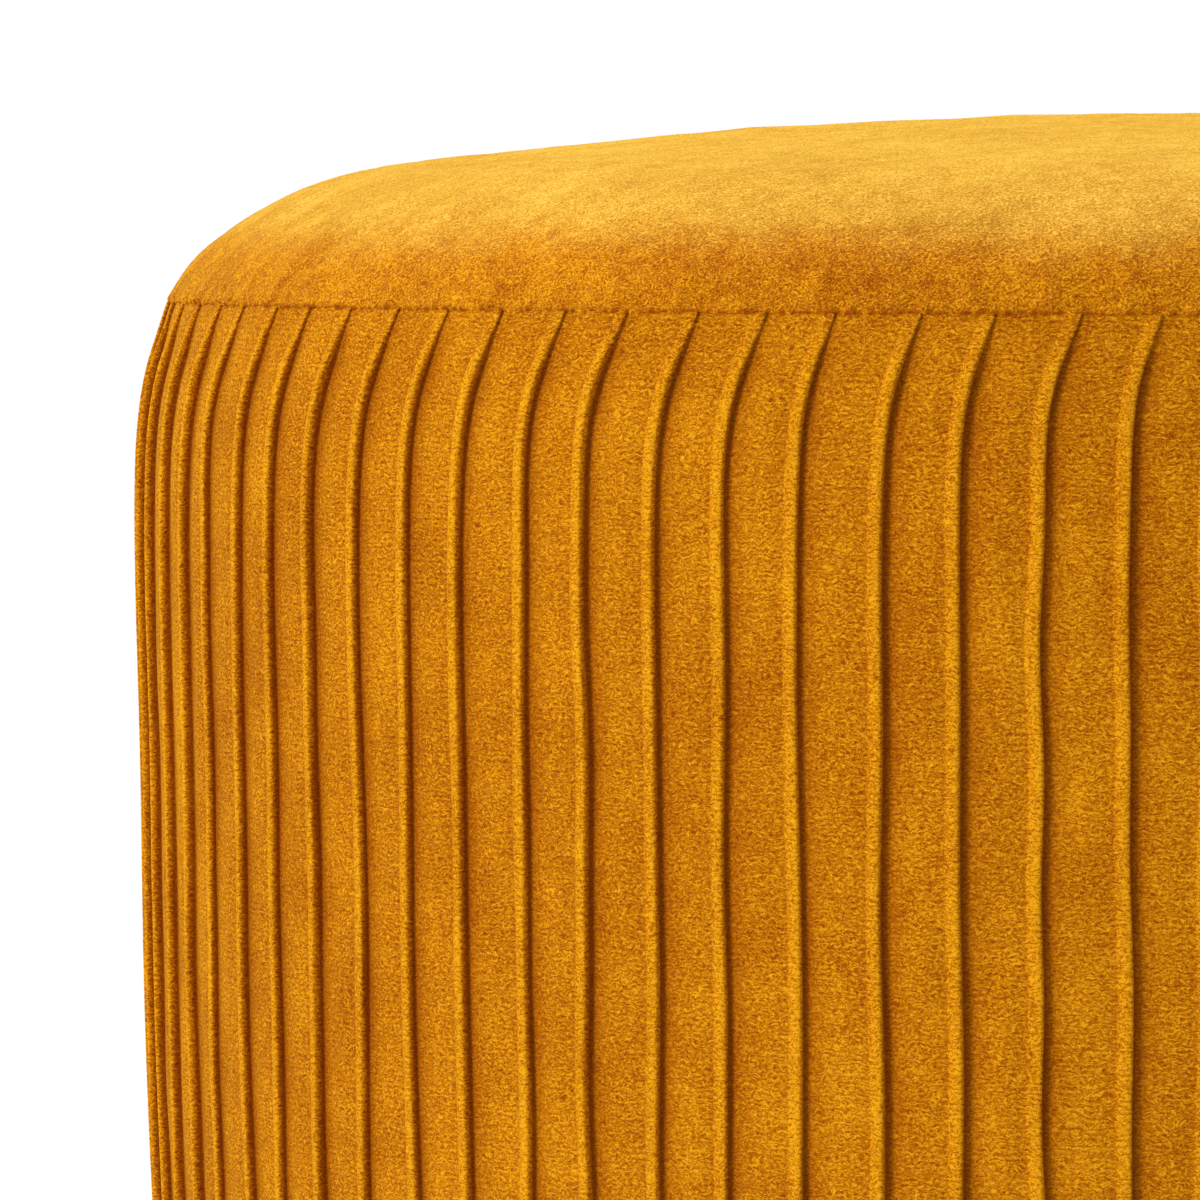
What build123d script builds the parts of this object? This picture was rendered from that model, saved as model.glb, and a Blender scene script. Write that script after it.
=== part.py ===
from build123d import *
import os

# A round storage ottoman in pleated velvet, in millimetres.
# The floor is z = 0, the middle of the footprint is x = y = 0, and +Z is up.
# A drum holds the storage space. A deep lid, which is also the seat, lifts straight off it.

# Overall sizes
outer_radius = 200.0  # the widest place, just under the seat's shoulder
total_height = 430.0  # floor to the middle of the seat
lid_height = 205.0  # lid edge to the middle of the seat
crown_height = 32.5  # seam to the middle of the seat

# Outlines: how far the side stands in from the outer radius at its main places
seam_inset = 5.9
edge_inset = 3.5
drum_belly_inset = 1.0
edge_rounding = 2.2

# Covers, padding and lining
cover_thickness = 2.5
hem_thickness = 1.2
hem_width = 22.0
base_hem_width = 44.0
seam_gap = 0.8
seam_thread_depth = 0.6
wadding_thickness = 4.0
seat_foam_thickness = 44.0
side_foam_thickness = 7.5
lining_thickness = 0.8
dust_cover_thickness = 0.6

# Boards
wall_thickness = 5.0
deck_thickness = 12.0
base_thickness = 15.0
floor_board_thickness = 3.0
floor_board_clearance = 0.5
neck_thickness = 3.5
neck_rise = 30.0  # how far the neck stands up into the lid
neck_clearance = 1.5  # between the neck and the lid's lining, all round

# Fasteners and feet
wall_screw_count = 12
wall_screw_radius = 1.75
wall_screw_head_radius = 3.5
wall_screw_head_depth = 2.0
wall_screw_length = 22.0
wall_screw_sink = 0.1  # how far a head lies below the wall's face
staple_count = 24
staple_width = 10.0
staple_wire = 0.7
staple_leg = 4.0
base_staple_leg = 8.0
glide_count = 4
glide_radius = 15.0
glide_height = 8.0
glide_taper = 2.0
glide_hem_clearance = 3.7  # between a glide and the edge of the cover's hem
glide_nail_radius = 1.3
glide_nail_in_glide = 5.0
glide_nail_in_board = 10.0

# Levels, from the floor up
base_level = glide_height + dust_cover_thickness
base_top = base_level + base_thickness
floor_board_top = base_top + floor_board_thickness
rim_level = total_height - lid_height
neck_top = rim_level + neck_rise
seam_level = total_height - crown_height
seat_foam_top = total_height - cover_thickness - wadding_thickness
deck_top = seat_foam_top - seat_foam_thickness
deck_bottom = deck_top - deck_thickness

# Radii, from the outside in
seam_radius = outer_radius - seam_inset
edge_radius = outer_radius - edge_inset
lid_wall_outer = outer_radius - cover_thickness - side_foam_thickness
lid_wall_inner = lid_wall_outer - wall_thickness
neck_outer = lid_wall_inner - hem_thickness - lining_thickness - neck_clearance
neck_inner = neck_outer - neck_thickness
storage_radius = neck_inner - lining_thickness
drum_wall_inner = neck_outer + hem_thickness
drum_wall_outer = drum_wall_inner + wall_thickness
base_hem_edge = drum_wall_inner - base_hem_width
glide_circle_radius = base_hem_edge - glide_hem_clearance - glide_radius

# The crown's outline, as shares of the seam's radius and of the crown's height below its top
crown_outline = (
    (0.31, 0.035),
    (0.57, 0.13),
    (0.75, 0.245),
    (0.84, 0.335),
    (0.907, 0.484),
    (0.953, 0.66),
    (0.979, 0.806),
    (1.0, 1.0),
)

# The lid's side from the seam down: share of its height, then how far it stands in
lid_side_outline = (
    (0.0, seam_inset),
    (0.044, 3.2),
    (0.10, 1.05),
    (0.20, 0.0),
    (0.45, 0.8),
    (0.68, 1.4),
    (0.88, 2.5),
    (1.0, edge_inset),
)

# The drum's side from the rim down, in the same way
drum_side_outline = (
    (0.0, edge_inset),
    (0.12, 2.4),
    (0.5, drum_belly_inset),
    (0.88, 2.4),
    (1.0, edge_inset),
)


def disc(radius, bottom, top):
    """A round board or sheet from one level to another."""
    height = top - bottom
    return Pos(0, 0, bottom + height / 2) * Cylinder(radius, height)


def hoop(inner, outer, bottom, top):
    """A plain ring between two radii, from one level to another."""
    return disc(outer, bottom, top) - disc(inner, bottom, top)


def turned(outline, bottom, top):
    """A solid turned about the vertical axis, under an outline that runs from top to bottom."""
    start = outline @ 0
    end = outline @ 1
    edges = [outline, Line(end, (0, 0, bottom)), Line((0, 0, bottom), (0, 0, top))]
    if start.X > 0:
        edges.append(Line((0, 0, top), start))
    return revolve(make_face(edges), Axis.Z)


def crown_envelope(inset):
    """All that lies under the crown's outline, moved in by an inset, down to the seam."""
    top = total_height - inset
    edge = seam_radius - inset
    points = [(0, 0, top)]
    points += [(edge * r, 0, top - (top - seam_level) * drop) for r, drop in crown_outline]
    return turned(Spline(points, tangents=[(1, 0, 0), (0.42, 0, -1)]), seam_level, top)


def side_envelope(side_outline, inset, bottom, top):
    """All that lies inside a side outline, moved in by an inset."""
    points = [
        (outer_radius - stands_in - inset, 0, top - (top - bottom) * share)
        for share, stands_in in side_outline
    ]
    return turned(Spline(points), bottom, top)


def lid_envelope(inset):
    return side_envelope(lid_side_outline, inset, rim_level, seam_level)


def drum_envelope(inset):
    return side_envelope(drum_side_outline, inset, base_level - hem_thickness, rim_level)


def round_outer_edge(cover, level):
    """Rounds the outer edge of a cover where it turns at a level."""
    circles = cover.edges().filter_by(GeomType.CIRCLE)
    at_level = [edge for edge in circles if abs(edge.center().Z - level) < 0.01]
    return fillet(max(at_level, key=lambda edge: edge.length), edge_rounding)


def around(count, first_angle=0.0):
    """The angles of pieces spaced evenly round the ottoman."""
    return [first_angle + 360.0 * step / count for step in range(count)]


# The drum: boards


def base_board():
    return disc(drum_wall_inner, base_level, base_top)


def drum_wall():
    return hoop(drum_wall_inner, drum_wall_outer, base_level, rim_level - cover_thickness)


def neck_liner():
    return hoop(neck_inner, neck_outer, base_top, neck_top - lining_thickness)


def storage_floor_board():
    return disc(storage_radius - floor_board_clearance, base_top, floor_board_top)


# The drum: padding, cover and lining


def drum_side_foam():
    inside = drum_envelope(cover_thickness)
    level_part = hoop(drum_wall_outer, outer_radius, base_level, rim_level - cover_thickness)
    return inside & level_part


def drum_pleated_cover():
    inside = drum_envelope(cover_thickness)
    foam_space = inside & disc(outer_radius, base_level, rim_level - cover_thickness)
    under_bore = disc(base_hem_edge, base_level - hem_thickness, base_level)
    rim_bore = disc(neck_outer, rim_level - cover_thickness, rim_level)
    shell = drum_envelope(0) - foam_space - under_bore - rim_bore
    shell = round_outer_edge(shell, rim_level)
    shell = round_outer_edge(shell, base_level - hem_thickness)
    hem = hoop(
        neck_outer, drum_wall_inner, rim_level - hem_width, rim_level - cover_thickness
    )
    return shell + hem


def storage_wall_lining():
    sleeve = hoop(storage_radius, neck_inner, base_top, neck_top)
    turned_edge = hoop(storage_radius, neck_outer, neck_top - lining_thickness, neck_top)
    return sleeve + turned_edge


def storage_floor_lining():
    edge = storage_radius - floor_board_clearance
    return disc(edge, floor_board_top, floor_board_top + lining_thickness)


def dust_cover():
    """A thin black cloth that steps down over the cover's hem, under the base."""
    outside = drum_wall_inner - 4 * hem_thickness
    middle = disc(base_hem_edge, glide_height, base_level)
    over_hem_level = base_level - hem_thickness
    rim = hoop(
        base_hem_edge - dust_cover_thickness,
        outside,
        over_hem_level - dust_cover_thickness,
        over_hem_level,
    )
    step = hoop(
        base_hem_edge - dust_cover_thickness,
        base_hem_edge,
        over_hem_level - dust_cover_thickness,
        base_level,
    )
    return middle + rim + step


# The drum: fasteners and feet


def radial_screws(wall_outer, level):
    """Countersunk screws driven in from the outside of a wall."""
    head_place = wall_outer - wall_screw_sink
    screws = []
    for angle in around(wall_screw_count, first_angle=15.0):
        shank = Pos(0, 0, wall_screw_length / 2) * Cylinder(
            wall_screw_radius, wall_screw_length
        )
        head = Pos(0, 0, wall_screw_head_depth / 2) * Cone(
            wall_screw_head_radius, wall_screw_radius, wall_screw_head_depth
        )
        inward = Rot(0, 0, angle) * Pos(head_place, 0, level) * Rot(0, -90, 0)
        screws.append(inward * (shank + head))
    return Compound(screws)


def drum_wall_screws():
    return radial_screws(drum_wall_outer, (base_level + base_top) / 2)


def staple(leg):
    """One staple, its crown along X with its outer face at z = 0, and its legs going up."""
    crown = Pos(0, 0, staple_wire / 2) * Box(staple_width, staple_wire, staple_wire)
    leg_place = (staple_width - staple_wire) / 2
    left_leg = Pos(-leg_place, 0, leg / 2) * Box(staple_wire, staple_wire, leg)
    right_leg = Pos(leg_place, 0, leg / 2) * Box(staple_wire, staple_wire, leg)
    return crown + left_leg + right_leg


def radial_staples(face_radius, level):
    """Staples driven outwards into the inside of a wall, with their crowns level."""
    outward = Rot(0, 90, 0) * Rot(0, 0, 90)
    return Compound(
        [
            Rot(0, 0, angle) * Pos(face_radius, 0, level) * outward * staple(staple_leg)
            for angle in around(staple_count)
        ]
    )


def drum_rim_staples():
    return radial_staples(neck_outer, rim_level - hem_width / 2)


def base_staples():
    circle = drum_wall_inner - base_hem_width / 2
    return Compound(
        [
            Rot(0, 0, angle)
            * Pos(circle, 0, base_level - hem_thickness)
            * Rot(0, 0, 90)
            * staple(base_staple_leg)
            for angle in around(staple_count)
        ]
    )


def glide_places():
    return [
        Rot(0, 0, angle) * Pos(glide_circle_radius, 0, 0)
        for angle in around(glide_count, first_angle=45.0)
    ]


def floor_glides():
    nail_hole = disc(glide_nail_radius, glide_height - glide_nail_in_glide, glide_height)
    pad = Pos(0, 0, glide_height / 2) * Cone(
        glide_radius - glide_taper, glide_radius, glide_height
    )
    return Compound([place * (pad - nail_hole) for place in glide_places()])


def glide_nails():
    nail = disc(
        glide_nail_radius,
        glide_height - glide_nail_in_glide,
        base_level + glide_nail_in_board,
    )
    return Compound([place * nail for place in glide_places()])


# The lid: boards


def lid_deck_board():
    return disc(lid_wall_inner, deck_bottom, deck_top)


def lid_wall():
    return hoop(lid_wall_inner, lid_wall_outer, rim_level + cover_thickness, deck_top)


def lid_wall_screws():
    return radial_screws(lid_wall_outer, (deck_bottom + deck_top) / 2)


# The lid: padding, covers and lining


def lid_side_foam():
    inside = lid_envelope(cover_thickness)
    return inside & hoop(
        lid_wall_outer, outer_radius, rim_level + cover_thickness, deck_top
    )


def seat_foam():
    inset = cover_thickness + wadding_thickness
    side = lid_envelope(inset) & disc(outer_radius, deck_top, seam_level)
    return side + crown_envelope(inset)


def seat_wadding():
    side = lid_envelope(cover_thickness) & disc(outer_radius, deck_top, seam_level)
    return side + crown_envelope(cover_thickness) - seat_foam()


def crown_cover():
    shell = crown_envelope(0) - crown_envelope(cover_thickness)
    return shell - disc(outer_radius, seam_level, seam_level + seam_gap / 2)


def lid_pleated_cover():
    inside = lid_envelope(cover_thickness)
    foam_space = inside & disc(outer_radius, rim_level + cover_thickness, seam_level)
    hem_inner = lid_wall_inner - hem_thickness
    rim_bore = disc(hem_inner, rim_level, rim_level + cover_thickness)
    shell = lid_envelope(0) - foam_space - rim_bore
    shell = shell - disc(outer_radius, seam_level - seam_gap / 2, seam_level)
    shell = round_outer_edge(shell, rim_level)
    hem = hoop(
        hem_inner, lid_wall_inner, rim_level + cover_thickness, rim_level + hem_width
    )
    return shell + hem


def crown_seam_thread():
    outer = seam_radius - seam_thread_depth
    return hoop(
        outer - seam_gap, outer, seam_level - seam_gap / 2, seam_level + seam_gap / 2
    )


def lid_rim_staples():
    return radial_staples(lid_wall_inner - hem_thickness, rim_level + hem_width / 2)


def lid_wall_lining():
    """Lies on the wall, and steps in over the hem at its foot."""
    hem_top = rim_level + hem_width
    on_wall = hoop(lid_wall_inner - lining_thickness, lid_wall_inner, hem_top, deck_bottom)
    over_hem_outer = lid_wall_inner - hem_thickness
    over_hem = hoop(
        over_hem_outer - lining_thickness,
        over_hem_outer,
        rim_level + cover_thickness,
        hem_top,
    )
    step = hoop(
        over_hem_outer - lining_thickness,
        lid_wall_inner,
        hem_top,
        hem_top + lining_thickness,
    )
    return on_wall + over_hem + step


def lid_deck_lining():
    edge = lid_wall_inner - lining_thickness
    return disc(edge, deck_bottom - lining_thickness, deck_bottom)


sub_parts = (
    floor_glides,
    glide_nails,
    dust_cover,
    base_staples,
    base_board,
    drum_wall,
    drum_wall_screws,
    drum_side_foam,
    drum_pleated_cover,
    drum_rim_staples,
    neck_liner,
    storage_floor_board,
    storage_floor_lining,
    storage_wall_lining,
    lid_wall,
    lid_deck_board,
    lid_wall_screws,
    lid_side_foam,
    lid_pleated_cover,
    lid_rim_staples,
    lid_wall_lining,
    lid_deck_lining,
    seat_foam,
    seat_wadding,
    crown_cover,
    crown_seam_thread,
)

os.makedirs("parts", exist_ok=True)
for sub_part in sub_parts:
    export_step(sub_part(), os.path.join("parts", sub_part.__name__ + ".step"))
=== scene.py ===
import math

import bpy
import numpy as np
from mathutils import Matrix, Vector


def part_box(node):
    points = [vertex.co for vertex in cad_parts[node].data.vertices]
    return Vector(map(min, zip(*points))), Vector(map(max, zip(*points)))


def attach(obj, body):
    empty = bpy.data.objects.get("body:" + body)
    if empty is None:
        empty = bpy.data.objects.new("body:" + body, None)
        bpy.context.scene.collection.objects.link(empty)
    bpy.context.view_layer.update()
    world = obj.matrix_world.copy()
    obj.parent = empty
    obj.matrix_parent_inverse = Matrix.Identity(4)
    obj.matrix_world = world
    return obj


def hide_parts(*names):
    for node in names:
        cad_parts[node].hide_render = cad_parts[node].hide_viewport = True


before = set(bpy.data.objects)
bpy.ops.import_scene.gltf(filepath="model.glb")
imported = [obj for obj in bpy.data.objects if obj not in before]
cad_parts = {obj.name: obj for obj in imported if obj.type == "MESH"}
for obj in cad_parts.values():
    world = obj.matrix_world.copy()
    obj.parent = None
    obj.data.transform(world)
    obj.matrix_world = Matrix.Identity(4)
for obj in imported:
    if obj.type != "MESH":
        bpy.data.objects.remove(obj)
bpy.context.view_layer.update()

# A round storage ottoman in mustard velvet. Metres, +Z up, the viewer is on the -Y side.
# Angles round the ottoman are measured from the front (-Y) towards +X.

MM = 0.001
SEED = 96

# The frame's own places
OUTER_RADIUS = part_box("lid_pleated_cover")[1].x
SEAT_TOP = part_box("crown_cover")[1].z
SEAM_LEVEL = (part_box("crown_seam_thread")[0].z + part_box("crown_seam_thread")[1].z) / 2
LID_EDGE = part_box("lid_pleated_cover")[0].z
DRUM_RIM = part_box("drum_pleated_cover")[1].z
DRUM_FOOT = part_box("drum_pleated_cover")[0].z

# Outlines, as the frame has them: a share of the height, and how far it stands in
SEAM_INSET = 5.9 * MM
EDGE_INSET = 3.5 * MM
EDGE_ROUNDING = 2.2 * MM
CROWN_OUTLINE = (
    (0.31, 0.035),
    (0.57, 0.13),
    (0.75, 0.245),
    (0.84, 0.335),
    (0.907, 0.484),
    (0.953, 0.66),
    (0.979, 0.806),
    (1.0, 1.0),
)
LID_SIDE_OUTLINE = (
    (0.0, SEAM_INSET),
    (0.044, 3.2 * MM),
    (0.10, 1.05 * MM),
    (0.20, 0.0),
    (0.45, 0.8 * MM),
    (0.68, 1.4 * MM),
    (0.88, 2.5 * MM),
    (1.0, EDGE_INSET),
)
DRUM_SIDE_OUTLINE = (
    (0.0, EDGE_INSET),
    (0.12, 2.4 * MM),
    (0.5, 1.0 * MM),
    (0.88, 2.4 * MM),
    (1.0, EDGE_INSET),
)
SEAM_RADIUS = OUTER_RADIUS - SEAM_INSET

# Pleats: tucks folded towards +X at the front
PLEAT_COUNT = 96
PLEAT_STEP = 2 * math.pi / PLEAT_COUNT
FIRST_FOLD = math.radians(1.16)
PANEL_INSET = 0.9 * MM  # how far the flat of a pleat lies inside the outline
PANELS = 2  # the widths of velvet that the pleated band is joined from
PANEL_START = 16  # the fold at which the first width begins, out of view
CLOTH_DEPTH = 3.3 * MM  # from the flat of a pleat to the back of the tucked velvet
SEAM_PULL = 4.6 * MM  # how far the seam draws the folds sideways
PULL_REACH = 10 * MM  # how far down from the seam that pull is felt
ROUND_DRIFT = 3.4 * MM  # how far the folds wander from even places, once round the body
PLEAT_SHADE_REACH = 0.34 * MM  # how far down the pleats the shade in the seam fades out
CROWN_SHADE_REACH = 0.36 * MM  # the same, up the crown
LID_ROW_SPACING = 3.1 * MM
DRUM_ROW_SPACING = 4.2 * MM
EDGE_CLEARANCE = 0.2 * MM  # between a turned edge and the level it is turned at

# One pleat from fold to fold: share of the way to the next fold, an offset along the side and a
# height, both in millimetres, and the painted shading of the point: a painted highlight on the
# tuck's folded edge above 0, painted shade in the groove and the soft shadow right of it below 0
PLEAT_SECTION = (
    (0.00, 0.06, -0.92, -1.15),
    (0.00, 0.35, -0.90, -1.05),
    (0.00, 0.80, -0.84, -0.88),
    (0.00, 1.35, -0.76, -0.7),
    (0.00, 2.05, -0.65, -0.5),
    (0.00, 2.95, -0.50, -0.28),
    (0.00, 4.10, -0.34, -0.12),
    (0.35, 0.60, -0.15, -0.03),
    (0.50, 0.00, 0.03, 0.0),
    (0.62, 0.00, 0.10, 0.0),
    (0.74, -0.10, 0.08, 0.0),
    (1.00, -2.48, -0.02, -0.3),
    (1.00, -2.25, 0.16, 0.2),
    (1.00, -1.95, 0.42, 0.6),
    (1.00, -1.55, 0.64, 0.85),
    (1.00, -1.05, 0.80, 1.0),
    (1.00, -0.50, 0.90, 1.1),
    (1.00, -0.12, 0.89, 1.2),
    (1.00, 0.10, 0.74, 1.1),
    (1.00, 0.20, 0.44, 0.5),
    (1.00, 0.21, 0.06, -0.2),
    (1.00, 0.15, -0.35, -0.8),
    (1.00, 0.02, -0.78, -1.15),
)


# ---- curves


def spline_through(knots, values, at):
    """A natural cubic spline through values at knots, read at other places."""
    steps = np.diff(knots)
    slopes = np.diff(values) / steps
    count = len(knots)
    system = np.eye(count)
    right = np.zeros(count)
    for k in range(1, count - 1):
        system[k, k - 1] = steps[k - 1]
        system[k, k] = 2 * (steps[k - 1] + steps[k])
        system[k, k + 1] = steps[k]
        right[k] = 6 * (slopes[k] - slopes[k - 1])
    bend = np.linalg.solve(system, right)
    k = np.clip(np.searchsorted(knots, at) - 1, 0, count - 2)
    h = steps[k]
    a = (knots[k + 1] - at) / h
    b = (at - knots[k]) / h
    curve = a * values[k] + b * values[k + 1]
    return curve + ((a**3 - a) * bend[k] + (b**3 - b) * bend[k + 1]) * h**2 / 6


class Outline:
    """A smooth line in the (radius, height) plane, read by the length along it."""

    steps = 1200  # points on the smoothed line

    def __init__(self, points):
        points = np.array(points, float)
        chord = np.hypot(*np.diff(points, axis=0).T)
        knots = np.concatenate([[0.0], np.cumsum(chord)])
        fine = np.linspace(0, knots[-1], self.steps)
        self.line = np.stack([spline_through(knots, points[:, i], fine) for i in (0, 1)], 1)
        length = np.hypot(*np.diff(self.line, axis=0).T)
        self.along = np.concatenate([[0.0], np.cumsum(length)])
        self.length = self.along[-1]
        slope = np.gradient(self.line, self.along, axis=0)
        slope /= np.hypot(*slope.T)[:, None]
        self.outward = np.stack([-slope[:, 1], slope[:, 0]], 1)
        if self.line[-1, 1] > self.line[0, 1]:
            self.outward = -self.outward

    def read(self, s):
        """Radius, height and the outward direction at lengths along the line."""
        columns = [self.line[:, 0], self.line[:, 1], self.outward[:, 0], self.outward[:, 1]]
        return [np.interp(s, self.along, column) for column in columns]


def side_line(outline, top, bottom):
    """A side's outline between two levels, as (radius, height) points."""
    return [
        (OUTER_RADIUS - stands_in, top - (top - bottom) * share)
        for share, stands_in in outline
    ]


def crown_line():
    """The crown's outline from the seam to the middle."""
    rise = SEAT_TOP - SEAM_LEVEL
    points = [(SEAM_RADIUS * r, SEAT_TOP - rise * drop) for r, drop in CROWN_OUTLINE]
    return points[::-1] + [(0.0, SEAT_TOP)]


def smooth_step(x):
    """0 below 0, 1 above 1, and a smooth rise between."""
    x = np.clip(x, 0, 1)
    return x * x * (3 - 2 * x)


def waves(seed, amplitude, shortest, longest, count=5):
    """A seeded function of one or two lengths: a sum of sines with chosen wavelengths."""
    random = np.random.default_rng(seed)
    lengths = np.exp(random.uniform(math.log(shortest), math.log(longest), count))
    turns = random.uniform(0, 2 * math.pi, count)
    headings = random.uniform(0, 2 * math.pi, count)
    share = amplitude / math.sqrt(count / 2)

    def height(x, y=0.0):
        total = 0.0
        for length, turn, heading in zip(lengths, turns, headings):
            place = x * math.cos(heading) + y * math.sin(heading)
            total = total + np.sin(2 * math.pi * place / length + turn)
        return share * total

    return height


# ---- meshes


def new_piece(name, points, faces, painted_shading=None):
    """A smooth object. Its last argument is the painted shading at each point, kept as an
    attribute:
    a painted highlight above 0, painted shade below 0.
    """
    mesh = bpy.data.meshes.new(name)
    mesh.from_pydata(points, [], faces)
    mesh.validate()
    mesh.shade_smooth()
    if painted_shading is not None:
        layer = mesh.attributes.new("painted_shading", "FLOAT", "POINT")
        layer.data.foreach_set("value", np.asarray(painted_shading, np.float32))
    piece = bpy.data.objects.new(name, mesh)
    bpy.context.scene.collection.objects.link(piece)
    return piece


def grid_faces(rows, columns, wrap_rows=False, wrap_columns=False):
    """Quads over a grid of points stored row by row."""
    row = np.arange(rows if wrap_rows else rows - 1)
    column = np.arange(columns if wrap_columns else columns - 1)
    row, column = [a.ravel() for a in np.meshgrid(row, column, indexing="ij")]
    next_row = (row + 1) % rows
    next_column = (column + 1) % columns
    corners = [
        row * columns + column,
        next_row * columns + column,
        next_row * columns + next_column,
        row * columns + next_column,
    ]
    return np.stack(corners, 1).tolist()


def round_points(angle, radius, height):
    """Points at angles from the front, radii and heights, as one list."""
    angle, radius, height = np.broadcast_arrays(angle, radius, height)
    points = np.stack([radius * np.sin(angle), -radius * np.cos(angle), height], -1)
    return points.reshape(-1, 3)


def ring_angles(count):
    return np.arange(count) * 2 * math.pi / count


def turned_piece(name, line, columns, ripple):
    """A closed ring turned from a closed line of (radius, height) points, with its radius
    changed by ripple, a function of the angle, radius and height."""
    line = np.array(line, float)
    angle = ring_angles(columns)[None, :]
    radius = np.repeat(line[:, :1], columns, 1)
    height = np.repeat(line[:, 1:], columns, 1)
    radius = radius + ripple(angle, radius, height)
    points = round_points(angle, radius, height)
    faces = grid_faces(len(line), columns, wrap_rows=True, wrap_columns=True)
    return new_piece(name, points, faces)


def domed_disc(rings, counts):
    """A round sheet of rings from its edge inwards, closed in the middle. Each ring has as
    many points as the one outside it, or half as many."""
    points, faces, starts = [], [], []
    for ring in rings:
        starts.append(len(points))
        points.extend(ring.tolist())
    for k in range(len(rings) - 1):
        outer, inner = starts[k], starts[k + 1]
        n, m = counts[k], counts[k + 1]
        if n == m:
            for i in range(n):
                j = (i + 1) % n
                faces.append((outer + i, outer + j, inner + j, inner + i))
        else:
            for i in range(m):
                a, b, c = 2 * i, 2 * i + 1, (2 * i + 2) % n
                j = (i + 1) % m
                faces.append((outer + a, outer + b, inner + i))
                faces.append((outer + b, inner + j, inner + i))
                faces.append((outer + b, outer + c, inner + j))
    last, n = starts[-1], counts[-1]
    middle = len(points)
    points.append(np.mean(points[last : last + n], axis=0).tolist())
    faces += [(last + i, last + (i + 1) % n, middle) for i in range(n)]
    return points, faces


# ---- pleats

# Each fold's own small wander: its place, lean, bow and height, and its wavering
pleat_random = np.random.default_rng(SEED)
fold_shift = pleat_random.normal(0, 0.42, PLEAT_COUNT) * MM
fold_lean = pleat_random.normal(0, 0.35, PLEAT_COUNT) * MM
fold_bow = pleat_random.normal(0, 0.25, PLEAT_COUNT) * MM
fold_height = pleat_random.normal(1.0, 0.10, PLEAT_COUNT).clip(0.8, 1.2)
fold_waves = [waves(SEED + k, 0.20 * MM, 0.03, 0.12) for k in range(PLEAT_COUNT)]


def fold_place(k, s, length, pull_in):
    """How far fold k lies from its even place, in metres towards +X, down its length."""
    share = s / length - 0.5
    pull = SEAM_PULL * np.exp(-((s / PULL_REACH) ** 1.4))
    drift = ROUND_DRIFT * math.sin(FIRST_FOLD + k * PLEAT_STEP)
    shift = fold_shift[k] + fold_lean[k] * share + fold_bow[k] * (4 * share**2 - 0.33)
    return shift + drift + fold_waves[k](s) + pull * pull_in


seam_dots = waves(SEED + 11, 0.60, 0.0011, 0.0045, count=16)


def seam_shade(angle):
    """How deep the shade is between the two velvets at an angle: it comes and goes."""
    return np.clip(0.50 + seam_dots(angle * SEAM_RADIUS), -0.5, 1)


def pleated_rows(length, spacing):
    """Lengths down a side: close together at its top, then evenly spread."""
    close = [0.0, 0.12, 0.25, 0.42, 0.65, 1.0, 1.5, 2.1, 2.9, 4.0, 5.3, 7.0, 9.0, 11.5]
    close = np.array(close) * MM
    even = np.arange(14.5 * MM, length - 2 * MM, spacing)
    return np.concatenate([close, even, [length]])


def pleat_relief(rows, length, sewn_top):
    """Down a side: the share of their full height that the pleats have, how far the cloth rolls
    in at the seam, and how far its flats lie inside the outline."""
    if sewn_top:
        squeeze = 0.34 + 0.66 * smooth_step(rows / (12 * MM))
        roll = 0.22 * MM * np.clip(1 - rows / (0.38 * MM), 0, 1) ** 1.5
        inset = PANEL_INSET * (0.35 + 0.65 * smooth_step(rows / (9 * MM)))
    else:
        squeeze = 0.7 + 0.3 * smooth_step(rows / (5 * MM))
        roll = np.zeros_like(rows)
        inset = np.full_like(rows, PANEL_INSET)
    foot = smooth_step((length - rows) / (5 * MM))
    return squeeze * (0.7 + 0.3 * foot), roll, inset


def pleat_columns(first, count, rows, length, squeeze, sewn_top):
    """Angles, heights and painted shading (a highlight on each folded edge, shade in the grooves
    and along the seam): a column for each point of PLEAT_SECTION on each pleat, and a last one
    where the next pleat begins."""
    swell = waves(SEED + 500, 0.13 * MM, 0.012, 0.05, count=9)
    seam_share = 1.5 * sewn_top * np.exp(-rows / PLEAT_SHADE_REACH)
    places, lifts, painted_shadings = [], [], []
    for k in range(first, first + count):
        here, after = k % PLEAT_COUNT, (k + 1) % PLEAT_COUNT
        even = FIRST_FOLD + k * PLEAT_STEP
        left = even * OUTER_RADIUS + fold_place(here, rows, length, sewn_top)
        right = (even + PLEAT_STEP) * OUTER_RADIUS
        right = right + fold_place(after, rows, length, sewn_top)
        for share, offset, lift, painted_shading in PLEAT_SECTION:
            tall = fold_height[here] if share < 0.5 else fold_height[after]
            place = left * (1 - share) + right * share + offset * MM
            bumps = swell(place, rows) * max(1 - abs(painted_shading), 0)
            shade = seam_shade(place / OUTER_RADIUS)
            places.append(place)
            lifts.append(lift * MM * tall * squeeze + bumps * squeeze)
            # The seam's painted shade takes over towards the top.
            painted_shadings.append(painted_shading * squeeze - (painted_shading * squeeze + shade) * seam_share)
    _, offset, lift, _ = PLEAT_SECTION[0]
    closing = FIRST_FOLD + (first + count) * PLEAT_STEP
    place = closing * OUTER_RADIUS + offset * MM
    places.append(place + fold_place((first + count) % PLEAT_COUNT, rows, length, sewn_top))
    lifts.append(lift * MM * squeeze)
    painted_shadings.append(-squeeze)
    return np.stack(places, 1) / OUTER_RADIUS, np.stack(lifts, 1), np.stack(painted_shadings, 1)


def turned_rows(line, angle, lift, painted_shading):
    """Radii, heights and painted shading of the rows along a line past a side's last row, where
    the pleats and their painted shading flatten."""
    radii = [line_r + (lift + PANEL_INSET) * keep for line_r, _, keep in line]
    levels = [np.full_like(angle, line_z) for _, line_z, _ in line]
    return radii, levels, [painted_shading * keep for _, _, keep in line]


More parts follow.
